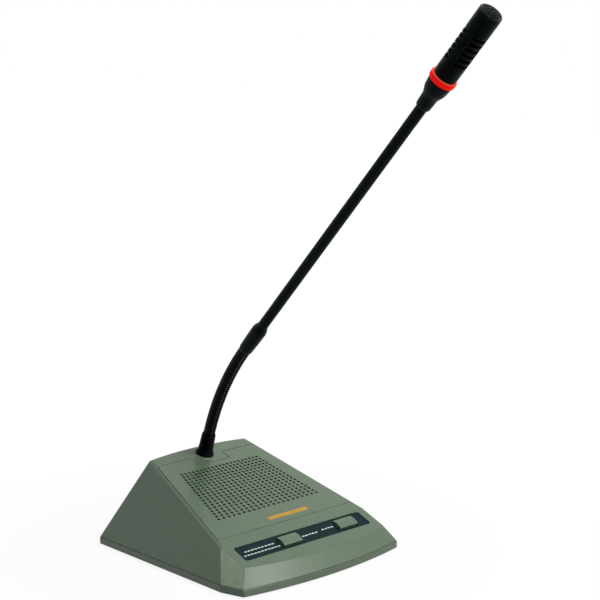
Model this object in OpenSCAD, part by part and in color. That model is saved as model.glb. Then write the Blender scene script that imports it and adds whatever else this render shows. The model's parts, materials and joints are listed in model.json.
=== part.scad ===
// Desk conference microphone: a wedge-shaped loudspeaker base with two call buttons
// and a flexible neck that carries a straight stem and a slotted microphone head.
// +X is the speaker's right, +Y the back, +Z up; the origin is on the desk.

/* [Base] */
// Width of the base at the desk
base_w = 150; // [130:1:180]
// Depth of the base between its front and back corners
base_d = 146.9; // [135:0.1:165]
// Height of the bottom cover's visible band
band_h = 4.7; // [4:0.1:7]
// Forward bow of the front edge
front_bow = 7.4; // [5:0.1:9]
// Rearward bow of the back edge
back_bow = 7.4; // [5:0.1:9]
// How far a cut-off front corner steps in from the side
corner_w = 5; // [3:0.1:8]
// How far a cut-off front corner runs back along the side
corner_d = 16.5; // [12:0.1:20]
// Inward lean of the side walls, in degrees
side_lean = 30.67; // [26:0.01:32]
// Forward lean of the back wall, in degrees
back_lean = 18.6; // [12:0.1:22]
// Slope of the grille deck, in degrees
deck_slope = 18.46; // [16:0.01:20]
// Slope of the control face in front of the deck, in degrees
face_slope = 21.05; // [20.5:0.01:24]
// Height of the crease between deck and control face above the band's foot
crease_h = 26.7; // [25:0.1:29]
// Distance of the crease behind the front corners
crease_back = 36; // [33:0.1:39]
// Thickness of the side, back and fascia walls
wall = 2.2; // [1.8:0.1:2.6]
// Width of the bevel along the deck's side edges
edge_band = 1.3; // [0.8:0.1:1.8]
// Visible joint between the upper shell and the bottom cover
seam_gap = 0.2; // [0.2:0.05:0.5]
// Floor thickness of the bottom cover
floor_t = 2.2; // [1.8:0.1:3]
// Height by which the rubber feet lift the base
foot_lift = 1; // [0.6:0.1:2]
// Diameter of a rubber foot
foot_d = 12; // [9:0.5:15]

/* [Grille panel] */
// Thickness of the grille panel
panel_t = 2.3; // [2:0.1:3]
// How far the panel stands proud of the shell
panel_proud = 0; // [0:0.1:0.5]
// Clearance behind the panel and round the tab
panel_gap = 0.4; // [0.2:0.05:0.5]
// Clearance at the panel's front and sides
panel_fit = 0.15; // [0.1:0.05:0.3]
// Thickness of the ledge under the panel
ledge_t = 1.6; // [1.2:0.1:2.4]
// Width of the ledge under the panel
ledge_w = 2.2; // [1.5:0.1:3]
// Length of the shell's strip behind the panel
rear_strip = 9.4; // [7:0.1:11]
// Width of the shell's tab round the neck
tab_w = 28.8; // [24:0.1:34]
// Length of the shell's tab round the neck
tab_len = 9; // [7:0.1:11]
// Diameter of a sound hole
hole_d = 2.3; // [1.2:0.1:2.5]
// Distance between rows of sound holes
row_pitch = 3.2; // [2.9:0.05:4]
// Number of sound holes in a row
hole_cols = 21; // [15:2:23]
// Plain margin in front of the sound holes
grille_front = 19; // [17:0.1:24]
// Plain margin between the sound holes and the tab
grille_rear = 6; // [4.5:0.1:8]
// Plain margin at each side of the sound holes
grille_side = 12.5; // [10:0.1:16]

/* [Controls] */
// Length of the dark control strip
strip_w = 113.4; // [104:0.1:114]
// Height of the dark control strip along the slope
strip_h = 14.2; // [13.5:0.1:15]
// Distance of the strip's middle below the crease
strip_down = 18.1; // [16.5:0.1:19]
// Corner radius of the strip
strip_r = 2; // [1:0.1:4]
// Thickness of the strip
strip_t = 0.6; // [0.4:0.1:0.9]
// Depth of the strip's recess
strip_recess = 1.2; // [0.9:0.1:1.4]
// Wall of the control face
face_wall = 3.2; // [2.8:0.1:4]
// Distance of the buttons' middle below the strip's
button_drop = 0.3; // [0:0.1:0.6]
// Length of a button
button_w = 16.5; // [12:0.5:18]
// Height of a button along the slope
button_h = 8.8; // [7:0.1:10]
// Centre of the speak button
speak_x = -13.5; // [-24:0.1:-11]
// Distance of the priority button's centre from the strip's right end
priority_in = 18.7; // [18:0.1:26]
// Height of a button's edge above the control face
button_proud = 1.1; // [1.1:0.1:2.5]
// Crown of a button's top
button_crown = 0.9; // [0.3:0.1:1]
// Clearance round a button
button_gap = 0.3; // [0.2:0.05:0.5]
// Travel of a button
button_travel = 1; // [0.5:0.1:1.2]

/* [Neck] */
// Height of the boot round the neck's foot
boot_h = 16.5; // [12:0.5:22]
// Diameter of the boot at the deck
boot_d = 13; // [12.6:0.1:16]
// Diameter of the boot at its top
boot_top_d = 9.7; // [9.3:0.1:12]
// Length of the flexible neck
neck_len = 78; // [70:0.5:90]
// Bend of the neck as it stands, in degrees
neck_bend = 24.9; // [5:0.1:40]
// Diameter of the neck over its ribs
neck_d = 8.3; // [7.8:0.1:9]
// Depth of the grooves between ribs
rib_depth = 0.55; // [0.4:0.05:0.6]
// Number of ribs on one link
link_ribs = 5; // [3:1:6]
// Bore of the neck
neck_bore = 4.6; // [4:0.1:5]

/* [Stem] */
// Length of the sleeve above the neck
sleeve_len = 25; // [20:0.5:32]
// Diameter of the sleeve where it widens
sleeve_d = 10.6; // [10:0.1:12]
// Diameter of the stem tube
stem_d = 7.3; // [6.4:0.1:7.6]
// Wall of the stem tube
stem_wall = 0.7; // [0.5:0.1:1]
// Bare length of the stem tube
stem_len = 207.5; // [150:0.5:260]

/* [Head] */
// Length of the head holder
holder_len = 20; // [18:0.5:26]
// Outer diameter of the light ring
ring_d = 17.2; // [16.2:0.1:18]
// Length of the light ring
ring_len = 5; // [4.6:0.1:8]
// Diameter of the head tube
head_d = 15; // [14:0.1:15.6]
// Length of the head tube
head_len = 49; // [46:0.5:56]
// Wall of the head tube
head_wall = 0.8; // [0.6:0.05:1]
// Number of slots in a column
slot_count = 6; // [3:1:6]
// Distance between slots
slot_pitch = 3.9; // [3.5:0.1:4.1]
// Height of a slot
slot_h = 2.4; // [1.6:0.1:2.8]
// Turn of the head's slots round its axis, in degrees
slot_turn = 13.5; // [0:0.5:60]
// Angle that a slot spans, in degrees
slot_span = 60; // [40:1:80]

/* [Hidden] */
$fn = 48;
eps = 0.01;
far = 400;
arc_steps = 28;
slip = 0.05;
slot_cols = 3;

// Paint
case_green = [0.46, 0.51, 0.45];
strip_blue = [0.11, 0.19, 0.24];
black_satin = [0.06, 0.06, 0.07];
steel = [0.62, 0.63, 0.65];
board_green = [0.1, 0.35, 0.2];

// Base planes: the footprint's front and back corners, the seam and the crease
front_y = -70;
back_y = front_y + base_d;
seam_z = foot_lift + band_h;
crease_y = front_y + crease_back;
crease_z = foot_lift + crease_h;
floor_z = foot_lift + floor_t;

// How the corner edges lean as they rise: sideways and backwards per millimetre of height
front_corner_in = 0.6;
front_corner_back = 0.673;
side_corner_back = 0.703;
// How the bows flatten as they rise
front_bow_loss = 0.35;
back_bow_loss = 0.06;
// Height above the seam at which the front bow has flattened out
bow_end = min(20, 0.95 * front_bow / front_bow_loss);

// Half-width of the side planes at height z
function side_x(z) = base_w / 2 - tan(side_lean) * (z - seam_z);
// The deck's rear edge, where the deck meets the back wall's corners
edge_y = (back_y - tan(back_lean) * (crease_z - seam_z - tan(deck_slope) * crease_y))
    / (1 + tan(back_lean) * tan(deck_slope));
edge_z = crease_z + (edge_y - crease_y) * tan(deck_slope);
edge_v = (edge_y - crease_y) / cos(deck_slope);
top_wall = panel_t - panel_proud + ledge_t;

// Panel and sound holes, along the deck from the crease
panel_len = edge_v - rear_strip;
tab_v = panel_len - tab_len;
function panel_half(v) = side_x(crease_z + v * sin(deck_slope)) - edge_band;
grille_v1 = tab_v - grille_rear;
hole_rows = floor((grille_v1 - grille_front) / row_pitch) + 1;
grille_v0 = grille_v1 - (hole_rows - 1) * row_pitch;

// Neck: foot on the deck, arc and joints
boot_in = 6.8;
boot_v = edge_v - boot_in;
neck_foot = [0, crease_y + boot_v * cos(deck_slope), crease_z + boot_v * sin(deck_slope)];
link_count = 8;
neck_r = neck_len / (neck_bend * PI / 180);
neck_root = neck_foot + boot_h * along(deck_slope);
link_pitch = 2 * neck_r * sin(neck_bend / link_count / 2);
function along(a) = [0, -sin(a), cos(a)];
function neck_angle(s) = deck_slope + neck_bend * s / neck_len;
function neck_at(s) = neck_root + neck_r * [
    0,
    cos(neck_angle(s)) - cos(deck_slope),
    sin(neck_angle(s)) - sin(deck_slope)
];
function joint_s(k) = (k - 0.5) * neck_len / link_count;
stem_angle = neck_angle(neck_len);

// Link ends: a dome that sits in the next link's cup, both round the joint's centre
dome_r = neck_d / 2 - 0.5;
cup_r = dome_r + 0.25;
cup_rim = 1.2;
dome_foot = 0.4;

// Places along the stem, from the end of the neck
spigot_len = 8;
stem_foot = spigot_len + 0.4;
holder_s = sleeve_len + stem_len;
tube_grip = 7;
ring_s = holder_s + holder_len;
head_s = ring_s + ring_len;
head_top = head_s + head_len;
holder_top_r = head_d / 2 + 0.2;
thread_r = 4.6;
head_floor = 2.2;
slot_first = 13.1;
head_bore = head_d / 2 - head_wall;

// Speaker under the panel
speaker_v = (grille_v0 + grille_v1) / 2;
panel_under = -(panel_t - panel_proud);
speaker_boss_h = 4;
speaker_half = (grille_v1 - grille_v0) / 2 + 2.8;
speaker_fix = speaker_half - 4;
cone_r = speaker_half - 5;
rim_w = 3.8;
rim_t = 0.6;
flange_t = 1.2;
flange_z = panel_under - speaker_boss_h;
basket_depth = 9;
yoke_r = 17;
magnet_r = 18;
magnet_h = 8;

// Buttons and their switches, below the control face
button_down = strip_down + button_drop;
priority_x = strip_w / 2 - priority_in;
key_flange_t = 1.2;
key_flange_w = 1.2;
key_rest = 0.2;
key_flange_z = -(face_wall + key_rest + key_flange_t);
key_stem = 1.4;
plunger_top = key_flange_z - key_stem;
plunger_r = 1.7;
plunger_len = 3;
switch_top = plunger_top - button_travel - 1.2;
switch_h = 3.3;
switch_w = 6.2;
switch_floor = 0.8;
board_t = 1.6;
switch_board_z = switch_top - switch_h;
switch_board_d = 18;
switch_post_x = strip_w / 2 - 5;
switch_post_v = 6;
screw_r = 1;
pilot_r = screw_r + slip;
screw_head_r = 2;
screw_head_h = 1.4;

// Fixings through the floor
cover_boss_h = 4;
cover_screw_r = 1.5;
cover_head_r = 2.8;
cover_head_h = 1.9;
post_r = 3.5;
post_front = crease_y + 2;
post_in = 25.4;
post_back = back_y - post_in;
post_at = [for (y = [post_front, post_back], x = [-1, 1]) [x, y]];
function post_x(y) = base_w / 2 - (y > 0 ? 24 : 19);
feet_at = [for (y = [front_y + 14, back_y - 10], x = [-1, 1]) [x, y]];
function foot_x(y) = base_w / 2 - (y > 0 ? 13 : 15);
foot_recess = 1;
lip_h = 2.4;
lip_t = 1.4;
lip_gap = 0.3;

// Bus sockets in the back wall's recess
recess_w = 56;
recess_wall = 2;
recess_z0 = seam_z + lip_h + recess_wall + 0.4;
recess_h = 21;
recess_y = back_y - 10;
socket_x = 13;
socket_z = recess_z0 + recess_h / 2;
socket_r = 7.5;
socket_bore_r = 6.7;
socket_flange_r = 8.8;
socket_flange_t = 1.2;
socket_len = 9;
socket_step = 1;
socket_step_r = 5.8;
insert_t = 3;
pin_r = 0.6;
pin_ring_r = 3.6;
pin_count = 7;

// Main board in front of the recess, ballast in front of the board
main_w = 78;
main_d = 34;
main_gap = 5.4;
main_y0 = recess_y - recess_wall - main_gap - main_d;
main_lift = 6;
main_post_in = 4;
ballast_w = 90;
ballast_gap = 4;
ballast_y0 = front_y + 28;
ballast_d = main_y0 - ballast_gap - ballast_y0;
ballast_t = 4;

// Frames: on the deck, on the control face, along the neck and along the stem
module on_deck(v = 0, x = 0) {
    translate([x, crease_y, crease_z]) rotate([deck_slope, 0, 0]) translate([0, v, 0]) children();
}
module on_face(down = 0, x = 0) {
    translate([x, crease_y, crease_z]) rotate([face_slope, 0, 0]) translate([0, -down, 0]) children();
}
module on_neck(s) {
    translate(neck_at(s)) rotate([neck_angle(s), 0, 0]) children();
}
module on_stem(s = 0) {
    translate(neck_at(neck_len)) rotate([stem_angle, 0, 0]) translate([0, 0, s]) children();
}
module on_boot() {
    translate(neck_foot) rotate([deck_slope, 0, 0]) children();
}

// Plan outline of the base at height h above the seam, moved in by w
function arc_y(x, half, y, bow) = y + bow * (1 - pow(x / half, 2));
function outline(h, w) = let(
        fx = base_w / 2 - corner_w - front_corner_in * h - 0.85 * w,
        fy = front_y + front_corner_back * h + 1.05 * w,
        sx = base_w / 2 - tan(side_lean) * h - w / cos(side_lean),
        cy = front_y + corner_d + side_corner_back * h + 0.35 * w,
        by = back_y - tan(back_lean) * h - w / cos(back_lean),
        fb = max(front_bow - front_bow_loss * h, 0.05 * front_bow),
        bb = back_bow - back_bow_loss * h
    ) concat(
        [for (i = [0:arc_steps]) let(x = fx * (2 * i / arc_steps - 1)) [x, arc_y(x, fx, fy, -fb)]],
        [[sx, cy]],
        [for (i = [0:arc_steps]) let(x = sx * (1 - 2 * i / arc_steps)) [x, arc_y(x, sx, by, bb)]],
        [[-sx, cy]]
    );

// Skin over outlines at the heights and insets in levels
module loft(levels) {
    rings = [for (l = levels) [for (p = outline(l[0], l[1])) [p[0], p[1], seam_z + l[0]]]];
    n = len(rings[0]);
    top = len(levels) - 1;
    polyhedron(
        points = [for (r = rings) each r],
        faces = concat(
            [[for (i = [0:n - 1]) i]],
            [for (k = [0:top - 1], i = [0:n - 1]) let(j = (i + 1) % n, a = k * n, b = a + n)
                each [[a + i, b + i, b + j], [a + i, b + j, a + j]]],
            [[for (i = [n - 1:-1:0]) top * n + i]]
        )
    );
}

// Everything below the deck and the control face, each moved in by its own wall
module under_top(deck_in, face_in) {
    intersection() {
        on_deck() translate([-far, -far, -2 * far - deck_in]) cube(2 * far);
        on_face() translate([-far, -far, -2 * far - face_in]) cube(2 * far);
    }
}

// Bevel along one side edge of the deck
module edge_bevel(side) {
    deck_n = along(deck_slope);
    wall_n = [side * cos(side_lean), 0, sin(side_lean)];
    mid_n = (deck_n + wall_n) / norm(deck_n + wall_n);
    depth = edge_band * sin(acos(deck_n * wall_n) / 2);
    translate([side * side_x(crease_z), crease_y, crease_z])
        rotate([0, acos(mid_n[2]), atan2(mid_n[1], mid_n[0])])
        translate([-far, -far, -depth]) cube(2 * far);
}

edge_bevel_start = 0.8;
module shell_outside() {
    h1 = edge_z - seam_z - edge_bevel_start;
    difference() {
        intersection() {
            loft([[seam_gap, 0], [bow_end, 0], [h1, 0], [h1 + 9, 8]]);
            under_top(0, 0);
        }
        edge_bevel(1);
        edge_bevel(-1);
    }
}
module shell_inside() {
    intersection() {
        loft([[-1, wall], [bow_end, wall], [edge_z - seam_z + 9, wall]]);
        under_top(top_wall, face_wall);
    }
}

module rounded_rect(w, h, r) {
    square([w - 2 * r, h], center = true);
    square([w, h - 2 * r], center = true);
    for (x = [-1, 1], y = [-1, 1]) translate([x * (w / 2 - r), y * (h / 2 - r)]) circle(r);
}

// Panel outline grown by e behind and round the tab, and by s at the front and sides
module panel_outline(e, s) {
    a = panel_half(0) + s;
    b = panel_half(panel_len) + s;
    t = tab_w / 2 - e;
    polygon([
        [-a, -s], [a, -s], [b, panel_len + e], [t, panel_len + e],
        [t, tab_v + e], [-t, tab_v + e], [-t, panel_len + e], [-b, panel_len + e]
    ]);
}

// Recess that takes the bus plugs, w larger than its opening all round
module recess_block(w) {
    translate([-recess_w / 2 - w, recess_y - w, recess_z0 - w])
        cube([recess_w + 2 * w, far, recess_h + 2 * w]);
}
module at_sockets() {
    for (x = [-socket_x, socket_x]) translate([x, recess_y, socket_z]) rotate([-90, 0, 0]) children();
}
module at_posts() {
    for (p = post_at) translate([p[0] * post_x(p[1]), p[1], 0]) children();
}
module at_feet() {
    for (p = feet_at) translate([p[0] * foot_x(p[1]), p[1], 0]) children();
}
module at_switch_posts() {
    for (x = [-1, 1], v = [-1, 1])
        on_face(strip_down - v * switch_post_v, x * switch_post_x) children();
}
module at_main_posts() {
    for (x = [-1, 1], y = [main_y0 + main_post_in, main_y0 + main_d - main_post_in])
        translate([x * (main_w / 2 - main_post_in), y, 0]) children();
}
module at_speaker_fixings() {
    for (x = [-1, 1], y = [-1, 1])
        on_deck(speaker_v + y * speaker_fix, x * speaker_fix) children();
}

// Small screw whose head's seat is at z = 0 and whose shank goes up
module small_screw(len) {
    translate([0, 0, -screw_head_h]) cylinder(h = screw_head_h, r = screw_head_r);
    cylinder(h = len, r = screw_r);
}

module upper_shell() {
    color(case_green) difference() {
        union() {
            difference() {
                shell_outside();
                difference() {
                    shell_inside();
                    recess_block(recess_wall);
                }
            }
            intersection() {
                shell_outside();
                union() {
                    at_posts() translate([0, 0, foot_lift + cover_boss_h]) cylinder(h = far, r = post_r);
                    at_switch_posts() translate([0, 0, switch_board_z]) cylinder(h = far, r = screw_r + 1.4);
                }
            }
        }
        recess_block(0);
        on_deck() translate([0, 0, panel_under]) linear_extrude(far) panel_outline(panel_gap, panel_fit);
        on_deck() translate([0, 0, -2 * top_wall]) linear_extrude(far) panel_outline(-ledge_w, -ledge_w);
        on_face(strip_down) translate([0, 0, -strip_recess])
            linear_extrude(far) rounded_rect(strip_w + 2 * slip, strip_h + 2 * slip, strip_r);
        for (x = [speak_x, priority_x]) on_face(button_down, x) translate([0, 0, -2 * face_wall])
            linear_extrude(far) square([button_w, button_h] + 2 * button_gap * [1, 1], center = true);
        for (x = [speak_x, priority_x]) on_face(button_down, x)
            translate([0, 0, key_flange_z - button_travel])
                linear_extrude(-face_wall - key_flange_z + button_travel)
                square([button_w, button_h] + 2 * (key_flange_w + button_gap) * [1, 1], center = true);
        at_sockets() translate([0, 0, -2 * recess_wall]) cylinder(h = 3 * recess_wall, r = socket_r + slip);
        at_posts() cylinder(h = foot_lift + cover_boss_h + 9, r = cover_screw_r + slip);
        at_switch_posts() translate([0, 0, switch_board_z - eps]) cylinder(h = 5, r = pilot_r);
        on_boot() translate([0, 0, -far / 2]) cylinder(h = far, r = ferrule_r + 0.2);
    }
}

module grille_panel() {
    color(case_green) {
        difference() {
            union() {
                on_deck() translate([0, 0, panel_under]) linear_extrude(panel_t) difference() {
                    panel_outline(0, 0);
                    for (r = [0:hole_rows - 1]) let(v = grille_v0 + r * row_pitch)
                        for (c = [0:hole_cols - 1])
                            translate([(panel_half(v) - grille_side) * (2 * c / (hole_cols - 1) - 1), v])
                                circle(d = hole_d);
                }
                at_speaker_fixings() translate([0, 0, flange_z])
                    cylinder(h = speaker_boss_h, r = screw_r + 1.5);
            }
            at_speaker_fixings() translate([0, 0, flange_z - eps])
                cylinder(h = speaker_boss_h - 0.6, r = pilot_r);
        }
    }
}

module bottom_cover() {
    color(case_green) difference() {
        union() {
            difference() {
                translate([0, 0, foot_lift]) linear_extrude(band_h) polygon(outline(0, 0));
                translate([0, 0, floor_z]) linear_extrude(far) polygon(outline(0, wall));
            }
            translate([0, 0, floor_z - eps]) linear_extrude(seam_z + lip_h - floor_z) difference() {
                polygon(outline(lip_h, wall + lip_gap));
                polygon(outline(lip_h, wall + lip_gap + lip_t));
            }
            at_posts() translate([0, 0, foot_lift]) cylinder(h = cover_boss_h, r = post_r + 1);
            at_main_posts() translate([0, 0, foot_lift]) cylinder(h = floor_t + main_lift, r = screw_r + 1.4);
        }
        at_posts() cylinder(h = far, r = cover_screw_r + 0.2);
        at_posts() cylinder(h = foot_lift + cover_head_h + 0.3, r = cover_head_r + 0.3);
        at_feet() cylinder(h = foot_lift + foot_recess, d = foot_d + 2 * slip);
        at_main_posts() translate([0, 0, floor_z]) cylinder(h = far, r = pilot_r);
    }
}

module control_strip() {
    color(strip_blue) on_face(strip_down) translate([0, 0, -strip_recess])
        linear_extrude(strip_t) difference() {
            rounded_rect(strip_w, strip_h, strip_r);
            for (x = [speak_x, priority_x]) translate([x, -button_drop])
                square([button_w, button_h] + 2 * button_gap * [1, 1], center = true);
        }
}

module ballast_plate() {
    color(steel) translate([-ballast_w / 2, ballast_y0, floor_z]) cube([ballast_w, ballast_d, ballast_t]);
}

module rubber_feet() {
    color(black_satin) at_feet() {
        cylinder(h = foot_lift + foot_recess, d = foot_d - 1);
        translate([0, 0, 0.5]) cylinder(h = foot_lift + foot_recess - 0.5, d = foot_d);
    }
}

module cover_screws() {
    color(steel) at_posts() {
        translate([0, 0, foot_lift + 0.3]) cylinder(h = cover_head_h, r = cover_head_r);
        translate([0, 0, foot_lift + 0.3]) cylinder(h = cover_boss_h + 7, r = cover_screw_r);
    }
}

module main_board() {
    top = floor_z + main_lift + board_t;
    color(board_green) difference() {
        union() {
            translate([-main_w / 2, main_y0, floor_z + main_lift]) cube([main_w, main_d, board_t]);
            translate([-16, main_y0 + 12, top - eps]) cube([12, 12, 1.6]);
            translate([8, main_y0 + 10, top - eps]) cube([18, 9, 2.2]);
            for (x = [-26, 31]) translate([x, main_y0 + 24, top - eps]) cylinder(h = 9, r = 3.2);
        }
        at_main_posts() cylinder(h = far / 4, r = screw_r + 0.2);
    }
}

module board_screws() {
    color(steel) {
        at_main_posts() translate([0, 0, floor_z + main_lift + board_t]) mirror([0, 0, 1]) small_screw(5);
        at_switch_posts() translate([0, 0, switch_board_z - board_t]) small_screw(5);
    }
}

module switch_board() {
    color(board_green) difference() {
        on_face(strip_down) translate([-strip_w / 2, -switch_board_d / 2, switch_board_z - board_t])
            cube([strip_w, switch_board_d, board_t]);
        at_switch_posts() translate([0, 0, -far / 2]) cylinder(h = far, r = screw_r + 0.2);
    }
}

module tact_switch(x) {
    color(black_satin) on_face(button_down, x) difference() {
        translate([-switch_w / 2, -switch_w / 2, switch_board_z]) cube([switch_w, switch_w, switch_h]);
        translate([0, 0, switch_board_z + switch_floor]) cylinder(h = far, r = plunger_r + 0.25);
    }
}
module speak_switch() { tact_switch(speak_x); }
module priority_switch() { tact_switch(priority_x); }

module key_button(x) {
    top = button_proud + button_crown;
    crown_r = (pow(button_h / 2, 2) + pow(button_crown, 2)) / (2 * button_crown);
    color(case_green) on_face(button_down, x) {
        rotate([90, 0, 90]) linear_extrude(button_w, center = true) intersection() {
            translate([-button_h / 2, key_flange_z]) square([button_h, top - key_flange_z]);
            translate([0, top - crown_r]) circle(crown_r, $fn = 96);
        }
        translate([0, 0, key_flange_z + key_flange_t / 2])
            cube([button_w + 2 * key_flange_w, button_h + 2 * key_flange_w, key_flange_t], center = true);
        translate([0, 0, plunger_top + key_stem / 2 + eps]) cube([5, 5, key_stem + 2 * eps], center = true);
    }
}
module speak_button() { key_button(speak_x); }
module priority_button() { key_button(priority_x); }

module plunger(x) {
    color(steel) on_face(button_down, x) translate([0, 0, plunger_top - plunger_len])
        cylinder(h = plunger_len, r = plunger_r);
}
module speak_plunger() { plunger(speak_x); }
module priority_plunger() { plunger(priority_x); }

module speaker_gasket() {
    color(black_satin) on_deck(speaker_v) translate([0, 0, flange_z + rim_t])
        linear_extrude(speaker_boss_h - rim_t) difference() {
            circle(cone_r + rim_w);
            circle(cone_r);
        }
}

module speaker_basket() {
    back = flange_z - flange_t - basket_depth;
    color(steel) difference() {
        on_deck(speaker_v) {
            translate([0, 0, flange_z - flange_t]) linear_extrude(flange_t) difference() {
                intersection() {
                    square(2 * speaker_half, center = true);
                    circle(speaker_half * 1.32);
                }
                circle(cone_r + 1);
            }
            rotate_extrude() polygon([
                [yoke_r - 8, back], [yoke_r, back], [yoke_r + 0.6, back + 1],
                [cone_r + 2, flange_z - flange_t], [cone_r + 2, flange_z - eps],
                [cone_r + 1, flange_z - eps], [cone_r + 1, flange_z - flange_t],
                [yoke_r - 0.4, back + 1.2], [yoke_r - 8, back + 1.2]
            ]);
        }
        at_speaker_fixings() translate([0, 0, -far / 2]) cylinder(h = far, r = screw_r + 0.2);
    }
}

module speaker_cone() {
    deep = flange_z - 7;
    color(black_satin) on_deck(speaker_v) rotate_extrude() polygon([
        [0, deep + 2.4], [5, deep + 1.4], [8, deep], [8.4, deep],
        [cone_r - 6, flange_z - 1.2], [cone_r - 4, flange_z + 0.2], [cone_r - 1.5, flange_z + 0.6],
        [cone_r, flange_z], [cone_r + rim_w, flange_z],
        [cone_r + rim_w, flange_z + rim_t], [cone_r, flange_z + rim_t],
        [cone_r - 1.5, flange_z + 1.3], [cone_r - 4.6, flange_z + 0.8], [cone_r - 6.4, flange_z - 0.6],
        [8, deep + 0.8], [5, deep + 2.1], [0, deep + 3.1]
    ]);
}

module speaker_magnet() {
    color(steel) on_deck(speaker_v)
        translate([0, 0, flange_z - flange_t - basket_depth - magnet_h]) cylinder(h = magnet_h, r = magnet_r);
}

module speaker_screws() {
    color(steel) at_speaker_fixings() translate([0, 0, flange_z - flange_t])
        small_screw(speaker_boss_h);
}

module bus_socket_shells() {
    color(steel) at_sockets() rotate_extrude() polygon([
        [socket_step_r, -socket_len], [socket_r, -socket_len], [socket_r, 0], [socket_flange_r, 0],
        [socket_flange_r, socket_flange_t], [socket_bore_r, socket_flange_t],
        [socket_bore_r, socket_step - socket_len], [socket_step_r, socket_step - socket_len]
    ]);
}

module bus_socket_inserts() {
    color(black_satin) at_sockets() translate([0, 0, socket_step - socket_len]) difference() {
        cylinder(h = insert_t, r = socket_bore_r - slip);
        translate([0, 0, 1]) cylinder(h = insert_t, r = pin_r);
        for (i = [0:pin_count - 1]) rotate(90 + (i - (pin_count - 1) / 2) * 44)
            translate([pin_ring_r, 0, 1]) cylinder(h = insert_t, r = pin_r);
    }
}

// Neck foot: ferrule through the deck, held by washer and nut under it, hidden by the boot
ferrule_r = 4.8;
ferrule_flange_r = 5.6;
ferrule_flange_t = 1.5;
ferrule_tail = 9;
washer_t = 0.8;
washer_r = 7.1;
nut_t = 4;
nut_af = 12;
ferrule_neck_r = neck_d / 2 - rib_depth;

module neck_boot() {
    r0 = boot_d / 2;
    r1 = boot_top_d / 2;
    bore = ferrule_neck_r + slip;
    color(black_satin) on_boot() rotate_extrude() polygon([
        [ferrule_flange_r + slip, 0], [r0, 0], [r0, 0.7], [r0 - 0.2, 1.2], [r0 - 0.7, boot_h * 0.14],
        [r1 + 0.5, boot_h * 0.28], [r1 + 0.25, boot_h * 0.55], [r1, boot_h - 1], [r1 - 0.3, boot_h - 0.2],
        [bore, boot_h - 0.2],
        [bore, ferrule_flange_t + 0.1], [ferrule_flange_r + slip, ferrule_flange_t + 0.1]
    ]);
}

// Wavy outside of the hose between heights a and b, with n ribs
rib_points = 6;
function ribs(a, b, n) = [for (i = [0:n * rib_points])
    let(z = a + (b - a) * i / (n * rib_points), c = cos(360 * i / rib_points))
    [neck_d / 2 - rib_depth * (1 + c) / 2, z]];
// Dome round a joint at height z, from its shoulder to the bore
dome_steps = 5;
function dome(z) = let(a0 = asin(-dome_foot / dome_r), a1 = acos(neck_bore / 2 / dome_r))
    [for (i = [0:dome_steps]) let(a = a0 + (a1 - a0) * i / dome_steps)
        [dome_r * cos(a), z + dome_r * sin(a)]];
// Cup round a joint at height 0, from the bore to its rim
function cup() = let(a1 = asin(cup_rim / cup_r), a0 = acos(neck_bore / 2 / cup_r))
    [for (i = [0:dome_steps]) let(a = a0 + (a1 - a0) * i / dome_steps)
        [cup_r * cos(a), cup_r * sin(a)]];

module neck_ferrule() {
    top = joint_s(1);
    low = -boot_h;
    color(black_satin) on_boot() translate([0, 0, boot_h]) rotate_extrude() polygon(concat(
        [[neck_bore / 2, low - top_wall - ferrule_tail], [ferrule_r, low - top_wall - ferrule_tail],
            [ferrule_r, low], [ferrule_flange_r, low], [ferrule_flange_r, low + ferrule_flange_t],
            [ferrule_neck_r, low + ferrule_flange_t]],
        ribs(0, top - dome_foot, 2),
        dome(top)
    ));
}
module neck_washer() {
    color(steel) on_boot() translate([0, 0, -top_wall - washer_t]) linear_extrude(washer_t) difference() {
        circle(washer_r);
        circle(ferrule_r + slip);
    }
}
module neck_nut() {
    color(steel) on_boot() translate([0, 0, -top_wall - washer_t - nut_t])
        linear_extrude(nut_t) difference() {
            circle(d = nut_af / cos(30), $fn = 6);
            circle(ferrule_r + slip);
        }
}

// Ribbed neck link from joint k to joint k + 1
module neck_link(k) {
    mid = (joint_s(k) + joint_s(k + 1)) / 2;
    color(black_satin) translate(neck_at(joint_s(k))) rotate([neck_angle(mid), 0, 0])
        rotate_extrude() polygon(concat(
            cup(), ribs(cup_rim, link_pitch - dome_foot, link_ribs), dome(link_pitch)
        ));
}
module neck_link_1() { neck_link(1); }
module neck_link_2() { neck_link(2); }
module neck_link_3() { neck_link(3); }
module neck_link_4() { neck_link(4); }
module neck_link_5() { neck_link(5); }
module neck_link_6() { neck_link(6); }
module neck_link_7() { neck_link(7); }

spigot_r = 3.2;
module neck_end() {
    low = joint_s(link_count) - neck_len;
    color(black_satin) on_stem() rotate_extrude() polygon(concat(
        [for (p = cup()) [p[0], p[1] + low]],
        ribs(low + cup_rim, 0, 2),
        [[spigot_r, 0], [spigot_r, spigot_len], [neck_bore / 2, spigot_len]]
    ));
}

module stem_sleeve() {
    bore = stem_d / 2 + slip;
    r = sleeve_d / 2;
    color(black_satin) on_stem() rotate_extrude() polygon([
        [spigot_r + slip, 0], [r - 0.7, 0], [r - 0.4, 0.6], [r - 0.1, sleeve_len * 0.5],
        [r, sleeve_len - 4.5], [r - 0.25, sleeve_len - 2.4], [r - 0.8, sleeve_len - 0.9],
        [bore + 0.4, sleeve_len], [bore, sleeve_len], [bore, stem_foot], [spigot_r + slip, stem_foot]
    ]);
}

module stem_tube() {
    len = holder_s + tube_grip - stem_foot;
    color(black_satin) on_stem(stem_foot) linear_extrude(len) difference() {
        circle(d = stem_d);
        circle(d = stem_d - 2 * stem_wall);
    }
}

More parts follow.
